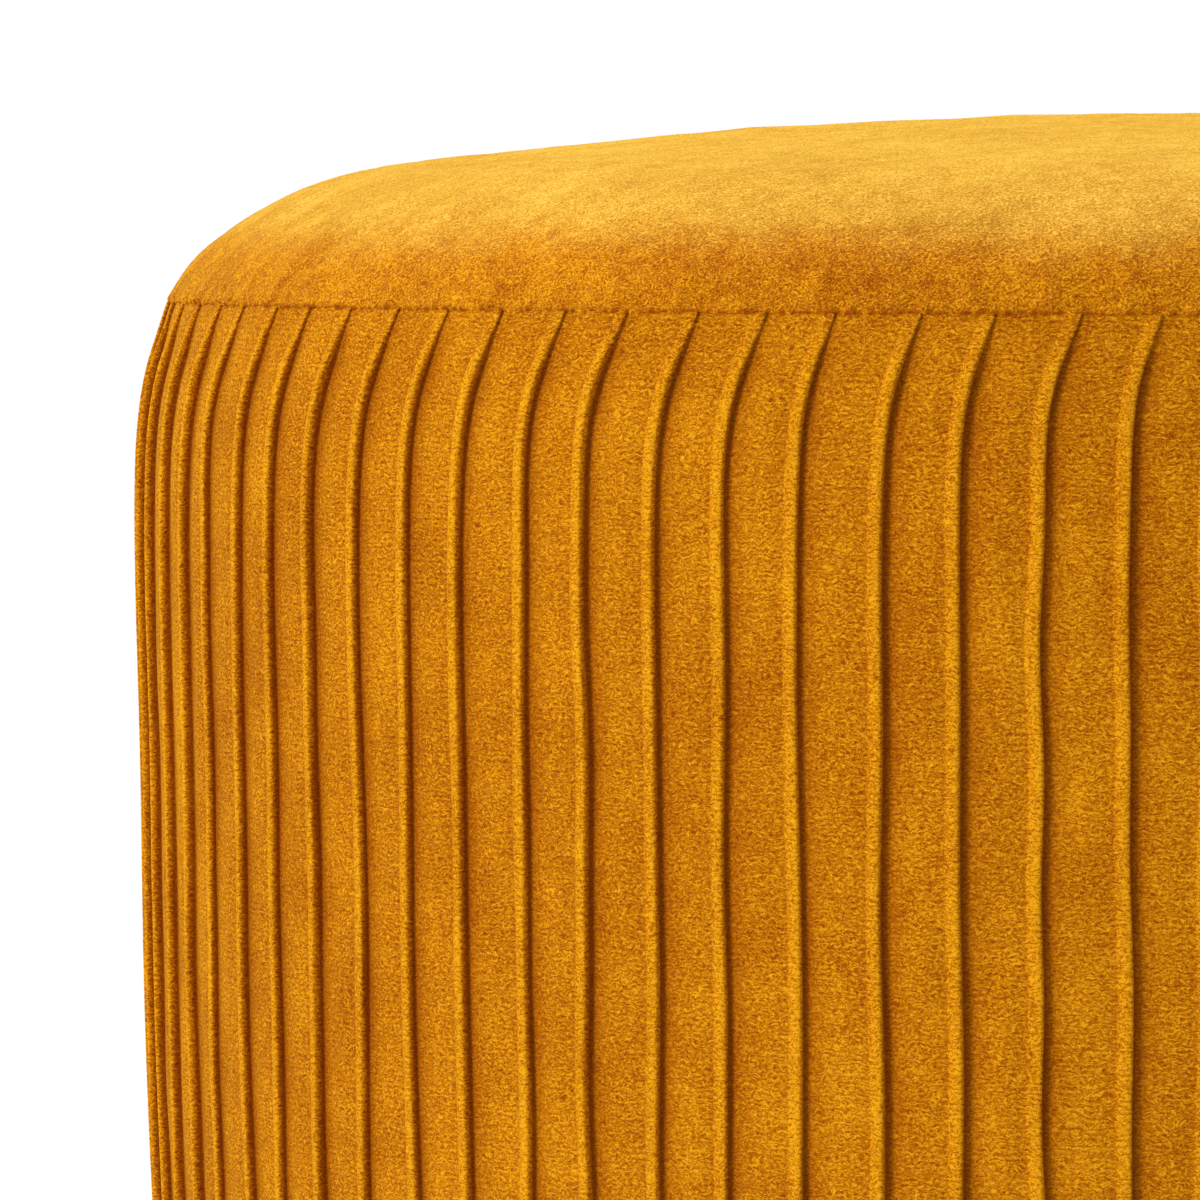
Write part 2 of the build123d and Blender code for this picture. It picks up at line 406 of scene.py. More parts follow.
def pleated_panel(name, outline, first, count, rim_line, foot_line):
    """Some pleats of a band, from fold first: its outer face, its turned-in ends and its back.

    foot_line is the way the cloth takes past the outline's lower end, and rim_line past its
    upper end. Without a rim_line the top is sewn into the seam."""
    sewn_top = not rim_line
    rows = pleated_rows(outline.length, LID_ROW_SPACING if sewn_top else DRUM_ROW_SPACING)
    squeeze, roll, inset = pleat_relief(rows, outline.length, sewn_top)
    angle, lift, painted_shading = pleat_columns(first, count, rows, outline.length, squeeze, sewn_top)
    lift = lift - inset[:, None] - roll[:, None]
    radius, height, out_r, out_z = [v[:, None] for v in outline.read(rows)]
    front_r = radius + out_r * lift
    front_z = height + out_z * lift

    # The turned-in ends, and the back of the cloth, which closes the piece
    foot_r, foot_z, foot_painted_shading = turned_rows(foot_line, angle[-1], lift[-1], painted_shading[-1])
    rim_r, rim_z, rim_painted_shading = turned_rows(rim_line[::-1], angle[0], lift[0], painted_shading[0])
    back_rows = np.linspace(outline.length, 0, 9)
    radius, height, out_r, out_z = [v[:, None] for v in outline.read(back_rows)]
    depth = PANEL_INSET + CLOTH_DEPTH
    back_r = radius - out_r * depth + 0 * angle[:1]
    back_z = height - out_z * depth + 0 * angle[:1]
    back_z = np.maximum(back_z, foot_line[-1][1])
    if rim_line:
        back_z = np.minimum(back_z, rim_line[-1][1])

    above = np.repeat(angle[:1], len(rim_line), 0)
    below = np.repeat(angle[-1:], len(foot_line) + len(back_rows), 0)
    angle = np.concatenate([above, angle, below])
    all_r = np.vstack([*rim_r, front_r, *foot_r, back_r])
    all_z = np.vstack([*rim_z, front_z, *foot_z, back_z])
    # Painted shading of every row: the turned ends fade it out, the back has none.
    all_painted_shading = np.vstack([*rim_painted_shading, painted_shading, *foot_painted_shading, np.zeros_like(back_r)])
    points = round_points(angle, all_r, all_z)
    faces = grid_faces(len(all_r), angle.shape[1], wrap_rows=True)
    return new_piece(name, points, faces, all_painted_shading.ravel())


def turned_end(level, inner_radius, thickness, up):
    """The cloth's way round an edge and inwards: radius, height and share of the pleats kept.
    up is 1 where the cloth's thickness lies above the level, and -1 where it lies below."""
    base = OUTER_RADIUS - EDGE_INSET - PANEL_INSET
    outer_level = level + up * EDGE_CLEARANCE
    way = []
    for turn in (0.35, 0.7, 1.0):
        angle = turn * math.pi / 2
        radius = base - EDGE_ROUNDING * (1 - math.cos(angle))
        height = outer_level + up * EDGE_ROUNDING * (1 - math.sin(angle))
        way.append((radius, height, 0.7 - 0.6 * turn))
    flat_from = base - 6 * MM
    way += [(flat_from, outer_level, 0.0), (inner_radius, outer_level, 0.0)]
    return [*way, (inner_radius, level + up * thickness, 0.0)]


def pleated_band(name, body, node, outline, rim_line, foot_line):
    """A band of pleated velvet, joined from widths that were cut to one size."""
    count = PLEAT_COUNT // PANELS
    made = []
    for number in range(PANELS):
        first = PANEL_START + number * count
        own_name = f"{name}_{number + 1}"
        piece = pleated_panel(own_name, outline, first, count, rim_line, foot_line)
        finish_sheet(piece, node, body)
        made.append(piece)
    return made


def stand_for(piece, node, body):
    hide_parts(node)
    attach(piece, body)


def finish_sheet(piece, node, body):
    stand_for(piece, node, body)


def finish_disc(piece, node, body):
    """A sheet cut as a disc that reaches so far from its middle."""
    finish_sheet(piece, node, body)


HEM = 22 * MM
BASE_HEM = 44 * MM
BASE_MARGIN = 5 * MM  # from the drum's wall in to where the base hem is turned
HEM_DEPTH = 2.2 * MM  # of turned-in pleats pressed flat
BASE_HEM_DEPTH = 1.15 * MM
LINING_DEPTH = 1.2 * MM  # of the lid's lining over the hem
RIM_CLEARANCE = 0.1 * MM  # between the drum's turned rim and the neck

lid_outline = Outline(side_line(LID_SIDE_OUTLINE, SEAM_LEVEL, LID_EDGE + EDGE_ROUNDING))
lid_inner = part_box("lid_wall_lining")[1].x - LINING_DEPTH
lid_pleats = pleated_band(
    "lid_pleats",
    "lid",
    "lid_pleated_cover",
    lid_outline,
    [],
    turned_end(LID_EDGE, lid_inner, HEM_DEPTH, 1),
)

NECK_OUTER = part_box("neck_liner")[1].x
DRUM_HEM_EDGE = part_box("drum_wall")[1].x - BASE_MARGIN - BASE_HEM
drum_outline = Outline(
    side_line(DRUM_SIDE_OUTLINE, DRUM_RIM - EDGE_ROUNDING, DRUM_FOOT + EDGE_ROUNDING)
)
drum_pleats = pleated_band(
    "drum_pleats",
    "drum",
    "drum_pleated_cover",
    drum_outline,
    turned_end(DRUM_RIM, NECK_OUTER + RIM_CLEARANCE, HEM_DEPTH, -1),
    turned_end(DRUM_FOOT, DRUM_HEM_EDGE, BASE_HEM_DEPTH, 1),
)

# ---- crown

TURNED_IN = 0.55 * MM  # how far the crown's edge goes in behind the tops of the pleats
TURNED_DOWN = 0.9 * MM  # and how far down

# How many points a ring of the crown has, by its distance from the seam
CROWN_RINGS = ((1.2 * MM, 3072), (9 * MM, 1536), (60 * MM, 768), (120 * MM, 384), (1.0, 96))


def crown_rings(length):
    """Lengths from the seam to the middle of the crown, and the number of points at each."""
    close = [0.0, 0.12, 0.25, 0.42, 0.65, 0.95, 1.35, 1.8, 2.4, 3.2, 4.2, 5.4, 6.8, 8.4]
    close = np.array(close) * MM
    middle = np.arange(10.2 * MM, 30 * MM, 2.0 * MM)
    wide = np.linspace(31 * MM, length - 4 * MM, 46)
    lengths = np.concatenate([close, middle, wide])
    counts = []
    for s in lengths:
        wanted = next(count for reach, count in CROWN_RINGS if s < reach)
        counts.append(max(wanted, counts[-1] // 2) if counts else wanted)
    return lengths, counts


def fold_relief(angle, s):
    """The pleats' folds, felt through the velvet above the seam and fading up the crown."""
    fold = (angle - FIRST_FOLD) / PLEAT_STEP
    ridge = np.exp(-(((fold - np.round(fold) + 0.09) / 0.13) ** 2))
    fading = 0.18 * math.exp(-s / (4.5 * MM)) + 0.26 * math.exp(-s / (16 * MM))
    return fading * MM * (ridge - 0.35)


def crown_piece():
    """The plain velvet seat: domed, softly uneven, rolled in and puckered along its seam."""
    outline = Outline(crown_line())
    lengths, counts = crown_rings(outline.length)
    soft = waves(SEED + 7, 0.14 * MM, 0.05, 0.16, count=8)
    fine = waves(SEED + 8, 0.10 * MM, 0.008, 0.03, count=12)
    pucker = waves(SEED + 9, 0.26 * MM, 0.0016, 0.0042, count=12)
    closing = waves(SEED + 10, 0.13 * MM, 0.0014, 0.0050, count=12)
    rings, painted_shadings = [], []
    for s, count in zip(lengths, counts):
        radius, height, out_r, out_z = [float(v) for v in outline.read(s)]
        angle = ring_angles(count)
        arc = angle * SEAM_RADIUS
        x, y = radius * np.sin(angle), -radius * np.cos(angle)
        inside = smooth_step(s / (25 * MM))
        lift = soft(x, y) * inside + fine(x, y) * (0.4 + 0.6 * inside)
        lift = lift + fold_relief(angle, s)
        lift = lift + pucker(arc) * math.exp(-s / (1.1 * MM))
        edge = np.clip(1 - s / (0.25 * MM + np.abs(closing(arc))), 0, 1)
        lift = lift - 0.24 * MM * edge**1.5 - 0.10 * MM * math.exp(-s / (3 * MM))
        # Painted shade along the seam, fading up the crown.
        painted_shadings.append(-1.5 * seam_shade(angle) * math.exp(-s / CROWN_SHADE_REACH))
        rings.append(round_points(angle, radius + out_r * lift, height + out_z * lift))
    # The edge is turned in and down behind the tops of the pleats.
    turned_in = np.array(rings[0])
    turned_in[:, :2] *= 1 - TURNED_IN / SEAM_RADIUS
    turned_in[:, 2] -= TURNED_DOWN
    rings.insert(0, turned_in)
    counts.insert(0, counts[0])
    # The turned-in edge is painted in fold shade.
    painted_shadings.insert(0, np.full(counts[0], -1.0))
    points, faces = domed_disc(rings, counts)
    painted_shadings.append([0.0])
    piece = new_piece("crown_velvet", points, faces, np.concatenate(painted_shadings))
    finish_disc(piece, "crown_cover", "lid")
    return piece


crown = crown_piece()


def seam_stitches():
    """A row of lockstitches lying in the seam's groove."""
    pitch = 3.3 * MM
    stitch_length = 2.5 * MM
    thread_radius = 0.28 * MM
    depth = 0.75 * MM  # of a stitch's middle in the groove; its ends dive deeper
    dive = 0.8 * MM
    count = round(2 * math.pi * SEAM_RADIUS / pitch)
    ring_points, section_points = 7, 6
    points, faces = [], []
    random = np.random.default_rng(SEED + 20)
    for k in range(count):
        middle = (k + random.uniform(-0.12, 0.12)) * 2 * math.pi / count
        start = len(points)
        for i in range(ring_points):
            share = i / (ring_points - 1)
            angle = middle + (share - 0.5) * stitch_length / SEAM_RADIUS
            to_end = (2 * share - 1) ** 4
            sink = depth + dive * to_end
            size = thread_radius * (1 - 0.7 * to_end)
            for j in range(section_points):
                turn = 2 * math.pi * j / section_points
                radius = SEAM_RADIUS - sink + size * math.cos(turn)
                height = SEAM_LEVEL + size * math.sin(turn)
                points.append((radius * math.sin(angle), -radius * math.cos(angle), height))
        faces += [
            tuple(start + v for v in face)
            for face in grid_faces(ring_points, section_points, wrap_columns=True)
        ]
        faces.append(tuple(start + j for j in range(section_points)))
        last = start + (ring_points - 1) * section_points
        faces.append(tuple(last + j for j in reversed(range(section_points))))
    piece = new_piece("crown_seam_stitches", points, faces)
    stand_for(piece, "crown_seam_thread", "lid")
    return piece


stitches = seam_stitches()

# ---- padding inside

COVER_DEPTH = 4.5 * MM  # from the outline to the back of the pleated velvet
PLAIN_DEPTH = 1.6 * MM  # from the crown's outline to the back of the plain velvet
FOAM_SKIN = OUTER_RADIUS - 10 * MM  # only the foam outside this radius is wavy


def inside_line(outline, depth, spacing=4 * MM):
    """The outline moved inwards, as (radius, height) points."""
    lengths = np.linspace(0, outline.length, max(3, round(outline.length / spacing)))
    radius, height, out_r, out_z = outline.read(lengths)
    return list(zip(radius - out_r * depth, height - out_z * depth))


def between(line, bottom, top):
    """The part of a line that runs down a side between two levels, cut to end on them."""
    radii, heights = np.array(line).T
    levels = np.linspace(top, bottom, max(3, round((top - bottom) / (4 * MM))))
    return list(zip(np.interp(levels, heights[::-1], radii[::-1]), levels))


def foam_skin(seed, amplitude):
    """Foam cut from a block: a faint waviness from the saw."""
    cut = waves(seed, amplitude, 0.01, 0.05, count=7)
    return lambda angle, radius, height: (
        cut(angle * OUTER_RADIUS, height) * (radius > FOAM_SKIN)
    )


def foam_wrap(name, node, body, outline):
    """A ring of foam from the outside of the body's wall to the back of its velvet."""
    low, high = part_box(node)
    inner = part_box(f"{body}_wall")[1].x
    outer = between(inside_line(outline, COVER_DEPTH), low.z + 1.5 * MM, high.z - 0.5 * MM)
    inner_line = [(inner + 0.2 * MM, z) for _, z in outer[::-1]]
    piece = turned_piece(name, outer + inner_line, 360, foam_skin(SEED + 30, 0.12 * MM))
    finish_padding(piece, node, body)
    return piece


def finish_padding(piece, node, body):
    stand_for(piece, node, body)


def dome_from_line(name, line, columns):
    """A closed pad turned from a line that starts and ends on the middle."""
    line = np.array(line, float)
    rings = line[1:-1]
    points = round_points(ring_angles(columns)[None, :], rings[:, :1], rings[:, 1:]).tolist()
    faces = grid_faces(len(rings), columns, wrap_columns=True)
    top, bottom = len(points), len(points) + 1
    points += [[0, 0, line[0, 1]], [0, 0, line[-1, 1]]]
    last = (len(rings) - 1) * columns
    for i in range(columns):
        j = (i + 1) % columns
        faces.append((i, j, top))
        faces.append((last + j, last + i, bottom))
    return new_piece(name, points, faces)


WADDING_DEPTH = 3.9 * MM  # the wadding's thickness
FOAM_DEPTH = 4.2 * MM  # from the back of the velvet to the foam under the wadding


def seat_outline(depth):
    """Middle of the crown, over the shoulder and down the side, moved in by a depth."""
    crown_part = inside_line(Outline(crown_line()), depth + PLAIN_DEPTH)[::-1]
    side_part = inside_line(lid_outline, depth + COVER_DEPTH, 3 * MM)[2:]
    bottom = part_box("seat_foam")[0].z
    side_part = [(r, z) for r, z in side_part if z > bottom + 1.5 * MM]
    return crown_part[:-1] + side_part, bottom + 0.2 * MM


def seat_pad():
    """The seat's foam, flat underneath."""
    line, bottom = seat_outline(FOAM_DEPTH)
    edge = line[-1][0]
    line = line + [(edge - 1 * MM, bottom), (edge * 0.5, bottom), (0.0, bottom)]
    piece = dome_from_line("seat_foam_pad", line, 240)
    finish_padding(piece, "seat_foam", "lid")
    return piece


def seat_wadding():
    """The soft layer between the seat's foam and the velvet."""
    outer, bottom = seat_outline(0.0)
    inner, _ = seat_outline(WADDING_DEPTH)
    line = outer + [(outer[-1][0], bottom), (inner[-1][0], bottom)] + inner[::-1]
    piece = dome_from_line("seat_wadding_layer", line, 240)
    finish_padding(piece, "seat_wadding", "lid")
    return piece


foam_pieces = [
    foam_wrap("lid_foam_wrap", "lid_side_foam", "lid", lid_outline),
    foam_wrap("drum_foam_wrap", "drum_side_foam", "drum", drum_outline),
    seat_pad(),
]
wadding = seat_wadding()

# ---- linings and dust cover

LAP = 14 * MM  # how far the ends of a strip of lining pass over each other
LINING_THICKNESS = 0.7 * MM


def strip_ripple(seed, amplitude, low, high):
    """Soft upright ripples in a strip of lining, less near its ends, and its lapped join."""
    loose = waves(seed, amplitude, 0.02, 0.09, count=9)
    sag = waves(seed + 1, amplitude * 0.5, 0.05, 0.2, count=5)

    def inward(angle, radius, height):
        free = smooth_step((height - low) / (12 * MM)) * smooth_step((high - height) / (12 * MM))
        arc = angle * radius
        slack = loose(arc * 1.6, height * 0.35) + sag(arc, height)
        behind = np.abs((angle - math.pi) * radius)
        lapped = 0.55 * MM * smooth_step((LAP / 2 - behind) / (1.2 * MM) + 0.5)
        return -(np.abs(slack) * free + lapped)

    return inward


def strip_lining(place, body, inner_line, seed, amplitude):
    """A strip of lining that goes round a wall: inner_line is its inner face, bottom to top."""
    inner_line = np.array(inner_line, float)
    step = np.diff(inner_line, axis=0)
    along = np.concatenate([[0.0], np.cumsum(np.hypot(*step.T))])
    places = np.unique(np.concatenate([along, np.arange(0, along[-1], 6 * MM)]))
    face = np.stack([np.interp(places, along, inner_line[:, i]) for i in (0, 1)], 1)
    back = face[::-1] + (LINING_THICKNESS, 0)
    ripple = strip_ripple(seed, amplitude, face[0, 1], face[-1, 1])

    def both_faces(angle, radius, height):
        moved = ripple(angle, radius, height)
        moved[len(face) :] = 0
        return moved

    closed = np.concatenate([face, back])
    piece = turned_piece(f"{place}_cloth", closed, 480, both_faces)
    finish_sheet(piece, f"{place}_lining", body)
    return piece


def disc_lining(name, node, body, line, seed, amplitude):
    """A round sheet turned from a closed line that starts and ends on the middle."""
    piece = dome_from_line(name, line, 288)
    crease = waves(seed, amplitude, 0.02, 0.12, count=10)
    edge = max(point[0] for point in line)
    for vertex in piece.data.vertices:
        x, y, _ = vertex.co
        inside = float(smooth_step((edge - math.hypot(x, y)) / (15 * MM)))
        vertex.co.z += crease(x, y) * inside
    finish_disc(piece, node, body)
    return piece


def disc_line(edge, bottom, top, rings=22):
    """The outline of a thin disc, from the middle of its top round to its underside's."""
    radii = np.linspace(0, edge - 0.4 * MM, rings)
    under = [(r, bottom) for r in radii[::-1]]
    return [*[(r, top) for r in radii], (edge, (bottom + top) / 2), *under]


def flat_lining(place, body, gap_below, gap_above, seed):
    """A disc of lining on a board."""
    name, node = f"{place}_cloth", f"{place}_lining"
    low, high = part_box(node)
    line = disc_line(high.x, low.z + gap_below, high.z - gap_above)
    return disc_lining(name, node, body, line, seed, 0.10 * MM)


def storage_wall_cloth():
    """The storage space's side, turned out over the neck's top edge."""
    low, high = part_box("storage_wall_lining")
    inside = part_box("storage_floor_board")[1].x + 0.5 * MM
    line = [
        (inside, low.z + 0.3 * MM),
        (inside, high.z - 1.0 * MM),
        (inside + 0.25 * MM, high.z - 0.3 * MM),
        (inside + 0.9 * MM, high.z),
    ]
    return strip_lining("storage_wall", "drum", line, SEED + 40, 0.35 * MM)


def lid_wall_cloth():
    """The lid's side, which steps out from the velvet's hem to the wall above it."""
    low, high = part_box("lid_wall_lining")
    over_hem = high.x - 2.0 * MM
    on_wall = high.x - 0.8 * MM
    hem_top = LID_EDGE + HEM
    line = [
        (over_hem, low.z + 0.2 * MM),
        (over_hem, hem_top - 0.5 * MM),
        (over_hem + 0.4 * MM, hem_top + 0.8 * MM),
        (on_wall, hem_top + 1.6 * MM),
        (on_wall, high.z - 0.3 * MM),
    ]
    return strip_lining("lid_wall", "lid", line, SEED + 48, 0.18 * MM)


def dust_cloth():
    """Thin black cloth under the base, which steps down over the velvet's hem."""
    low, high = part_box("dust_cover")
    step = DRUM_HEM_EDGE
    over_cloth = low.z + 0.6 * MM
    under_cloth = high.z - 0.6 * MM
    line = [
        *[(r, high.z - 0.02 * MM) for r in np.linspace(0, step - 1.2 * MM, 18)],
        (step - 0.1 * MM, high.z - 0.25 * MM),
        (step + 0.1 * MM, over_cloth),
        *[(r, over_cloth) for r in np.linspace(step + 1 * MM, high.x - 0.3 * MM, 6)],
        (high.x, low.z + 0.3 * MM),
        *[(r, low.z + 0.03 * MM) for r in np.linspace(high.x - 0.3 * MM, step, 6)],
        (step - 0.6 * MM, under_cloth - 0.3 * MM),
        *[(r, under_cloth + 0.02 * MM) for r in np.linspace(step - 1.4 * MM, 0, 18)],
    ]
    return disc_lining(
        "dust_cloth", "dust_cover", "drum", line, SEED + 56, 0.05 * MM
    )


storage_wall_piece = storage_wall_cloth()
storage_floor_piece = flat_lining(
    "storage_floor", "drum", 0.05 * MM, 0, SEED + 44
)
lid_wall_piece = lid_wall_cloth()
lid_deck_piece = flat_lining("lid_deck", "lid", 0, 0.05 * MM, SEED + 52)
dust_piece = dust_cloth()

# ---- materials


class Nodes:
    """A small helper that writes a material's node tree."""

    def __init__(self, name):
        self.material = bpy.data.materials.new(name)
        self.material.use_nodes = True
        self.tree = self.material.node_tree
        self.shader = self.tree.nodes["Principled BSDF"]
        self.place = self.add("ShaderNodeTexCoord").outputs["Object"]

    def add(self, kind, inputs=(), **settings):
        """A new node with its settings, and its inputs as numbers or links."""
        node = self.tree.nodes.new(kind)
        for name, value in settings.items():
            setattr(node, name, value)
        for name, value in dict(inputs).items():
            self.put(value, node.inputs[name])
        return node

    def link(self, source, target):
        self.tree.links.new(source, target)

    def put(self, value, socket):
        """Sets a socket to a number, or links an output to it."""
        if isinstance(value, bpy.types.NodeSocket):
            self.link(value, socket)
        else:
            socket.default_value = value

    def math(self, operation, a, b=0.0, clamp=False):
        inputs = {0: a, 1: b}
        node = self.add("ShaderNodeMath", inputs, operation=operation, use_clamp=clamp)
        return node.outputs[0]

    def warped(self, size, amount):
        """Places pushed to and fro by up to about this amount, by soft noise of a size."""
        inputs = {"Vector": self.place, "Scale": 1 / size, "Detail": 1.0}
        noise = self.add("ShaderNodeTexNoise", inputs)
        inputs = {0: noise.outputs["Color"], 1: (2 * amount,) * 3, 2: self.place}
        return self.add("ShaderNodeVectorMath", inputs, operation="MULTIPLY_ADD").outputs[0]

    def stretched(self, scale, place=None):
        inputs = {"Vector": place or self.place, "Scale": scale}
        return self.add("ShaderNodeMapping", inputs).outputs["Vector"]

    def noise(
        self, size, detail=2.0, roughness=0.5, scale=(1, 1, 1), distortion=0.0, place=None
    ):
        """Noise whose blobs are about this many metres across, from 0 to 1."""
        inputs = {
            "Vector": self.stretched(scale, place),
            "Scale": 1 / size,
            "Detail": detail,
            "Roughness": roughness,
            "Distortion": distortion,
        }
        return self.add("ShaderNodeTexNoise", inputs).outputs["Fac"]

    def ramp(self, value, stops):
        node = self.add("ShaderNodeValToRGB", {"Fac": value})
        elements = node.color_ramp.elements
        while len(elements) < len(stops):
            elements.new(0.5)
        for element, (position, colour) in zip(elements, stops):
            element.position = position
            element.color = (*colour, 1)
        return node.outputs["Color"]

    def mix(self, share, a, b):
        node = self.add("ShaderNodeMix", data_type="RGBA")
        self.put(share, node.inputs[0])
        for value, socket in ((a, node.inputs[6]), (b, node.inputs[7])):
            self.put(value if isinstance(value, bpy.types.NodeSocket) else (*value, 1), socket)
        return node.outputs[2]

    def parts(self, place=None):
        """The x, y and z of a place."""
        return self.add("ShaderNodeSeparateXYZ", {0: place or self.place}).outputs

    def rise(self, value, start, end):
        """0 below the start and 1 above the end, with a smooth rise between."""
        inputs = {"Value": value, "From Min": start, "From Max": end}
        node = self.add("ShaderNodeMapRange", inputs, interpolation_type="SMOOTHSTEP")
        return node.outputs["Result"]

    def scaled(self, value, low, high):
        """A 0 to 1 value spread from low to high."""
        inputs = {"Value": value, "To Min": low, "To Max": high}
        return self.add("ShaderNodeMapRange", inputs).outputs["Result"]

    def swing(self, value, share):
        """A 0 to 1 value moved to lie about 0, times a share."""
        return self.math("MULTIPLY", self.math("SUBTRACT", value, 0.5), share)

    def total(self, first, *others):
        for value in others:
            first = self.math("ADD", first, value)
        return first

    def bump(self, height, distance, strength=1.0):
        inputs = {"Height": height, "Distance": distance, "Strength": strength}
        node = self.add("ShaderNodeBump", inputs)
        self.link(node.outputs["Normal"], self.shader.inputs["Normal"])

    def surface(self, **values):
        names = {
            "colour": "Base Color",
            "roughness": "Roughness",
            "specular": "Specular IOR Level",
            "sheen": "Sheen Weight",
            "sheen_roughness": "Sheen Roughness",
            "sheen_tint": "Sheen Tint",
            "metallic": "Metallic",
        }
        for key, value in values.items():
            socket = self.shader.inputs[names[key]]
            if isinstance(value, tuple):
                value = (*value, 1)
            self.put(value, socket)
        return self.material


# Shades of the velvet, from the shade between the strands to their lit tips. The top's set is
# paler and yellower: painted light from above and grazing sheen on the seat's top. FOLD_SHADE is
# the painted shade in the folds, along the seam and on the crown's turned-in edge.
SIDE_SHADES = ((0.235, 0.044, 0.0006), (0.475, 0.152, 0.0010), (0.800, 0.360, 0.0070))
PAINTED_TOP_SHADES = ((0.400, 0.165, 0.0080), (0.600, 0.305, 0.0240), (0.860, 0.510, 0.0800))
FOLD_SHADE = (0.270, 0.046, 0.0008)
WEAVE_ROW = 0.875 * MM  # from one row of the velvet's weave to the next


def velvet(name, stretch, row_share, top_light_and_brushing, contrast, sheen_tint):
    """Short cut pile: worm-like strokes, faint rows of the weave, brushed patches, a soft sheen,
    a painted highlight on the folded edges and painted shade in the grooves and along the seam.

    stretch is the shape of the strokes along x, y and z. The fourth argument is how far the
    seat's top takes the paler, yellower shades, which are painted light for the light from above
    and the grazing sheen, and how much stronger the brushed patches are."""
    n = Nodes(name)
    warped = n.warped(2.1 * MM, 0.85 * MM)
    strokes = n.noise(0.36 * MM, detail=1.5, roughness=0.6, scale=stretch, place=warped)
    speck = n.noise(0.25 * MM, detail=1.0, roughness=0.5)
    clumps = n.noise(16 * MM, detail=3.0, roughness=0.6)
    brushed = n.noise(3.2 * MM, detail=2.5, roughness=0.6)
    wide = n.noise(70 * MM, detail=2.0, roughness=0.5)
    rows = n.math("MULTIPLY", n.parts(warped)["Z"], 2 * math.pi / WEAVE_ROW)
    rows = n.math("MULTIPLY", n.math("SINE", rows), 0.5)
    rows = n.math("MULTIPLY", rows, row_share)
    # Painted shading from the mesh: above 0 a painted highlight, below 0 painted shade.
    painted_shading = n.add("ShaderNodeAttribute", attribute_name="painted_shading").outputs["Fac"]
    painted_highlight = n.math("MAXIMUM", painted_shading, 0.0)
    painted_shade = n.math("MULTIPLY", n.math("MINIMUM", painted_shading, 0.0), -0.66)
    tone = n.total(
        n.swing(strokes, 1.75 * contrast),
        n.swing(speck, contrast),
        rows,
        n.swing(clumps, 0.50 * contrast),
        n.swing(brushed, 0.12 + 0.50 * top_light_and_brushing),
        n.swing(wide, 0.30),
        # painted highlight on the folded edges
        n.math("MULTIPLY", painted_highlight, 0.20),
    )
    tone = n.math("ADD", tone, 0.50, clamp=True)
    colour = n.ramp(tone, tuple(zip((0.0, 0.5, 1.0), SIDE_SHADES)))
    # The seat's top is painted paler and yellower above a wavering line round the shoulder:
    # painted light for the light from above and the grazing sheen.
    if top_light_and_brushing:
        painted_top_colour = n.ramp(tone, tuple(zip((0.0, 0.5, 1.0), PAINTED_TOP_SHADES)))
        colour = n.mix(n.math("MULTIPLY", painted_top_line(n), top_light_and_brushing), colour, painted_top_colour)
    # Painted shade in the grooves, along the seam and on the crown's turned-in edge.
    colour = n.mix(painted_shade, colour, FOLD_SHADE)
    n.bump(n.total(strokes, n.math("MULTIPLY", speck, 0.45), rows), 0.26 * MM, 0.8)
    return n.surface(
        colour=colour,
        roughness=0.95,
        specular=0.05,
        sheen=0.26,
        sheen_roughness=0.24,
        sheen_tint=sheen_tint,
    )


def painted_top_line(n):
    """1 where the seat's top is painted paler and yellower, painted light for the light from
    above and the grazing sheen, above a wavering line round the shoulder.
    """
    waver = n.scaled(n.noise(28 * MM, detail=6.0, roughness=0.75), -10 * MM, 10 * MM)
    level = n.math("ADD", n.parts()["Z"], waver)
    return n.rise(level, SEAM_LEVEL + 6.5 * MM, SEAM_LEVEL + 18.5 * MM)


pleat_velvet = velvet("velvet_pleated", (0.5, 0.5, 1.35), 0.16, 0.0, 1.15, (1.0, 0.76, 0.04))
# The seat's velvet takes the painted top light in full.
crown_velvet = velvet("velvet_plain", (0.8, 0.8, 1.1), 0.04, 1.0, 1.2, (1.0, 0.90, 0.06))
for piece in [*lid_pleats, *drum_pleats]:
    piece.data.materials.append(pleat_velvet)
crown.data.materials.append(crown_velvet)


def thread_material():
    n = Nodes("stitching_thread")
    twist = n.noise(0.25 * MM, detail=1.0, scale=(1, 1, 3))
    colour = n.ramp(twist, ((0.3, (0.16, 0.045, 0.003)), (0.7, (0.36, 0.12, 0.006))))
    n.bump(twist, 0.05 * MM)
    return n.surface(colour=colour, roughness=0.9, specular=0.03)


stitches.data.materials.append(thread_material())


def foam_material():
    n = Nodes("cut_foam")
    pores = n.noise(0.9 * MM, detail=2.0, roughness=0.7)
    tint = n.noise(40 * MM, detail=2.0)
    colour = n.ramp(pores, ((0.32, (0.55, 0.47, 0.30)), (0.55, (0.82, 0.76, 0.58))))
    colour = n.mix(n.scaled(tint, 0.0, 0.35), colour, (0.86, 0.74, 0.46))
    n.bump(pores, 0.3 * MM)
    return n.surface(colour=colour, roughness=0.9, specular=0.1)


def wadding_material():
    n = Nodes("polyester_wadding")
    fibres = n.noise(2.5 * MM, detail=6.0, roughness=0.7, distortion=1.5)
    colour = n.ramp(fibres, ((0.3, (0.70, 0.70, 0.68)), (0.7, (0.90, 0.90, 0.88))))
    n.bump(fibres, 0.5 * MM)
    return n.surface(colour=colour, roughness=0.95, specular=0.05, sheen=0.3)


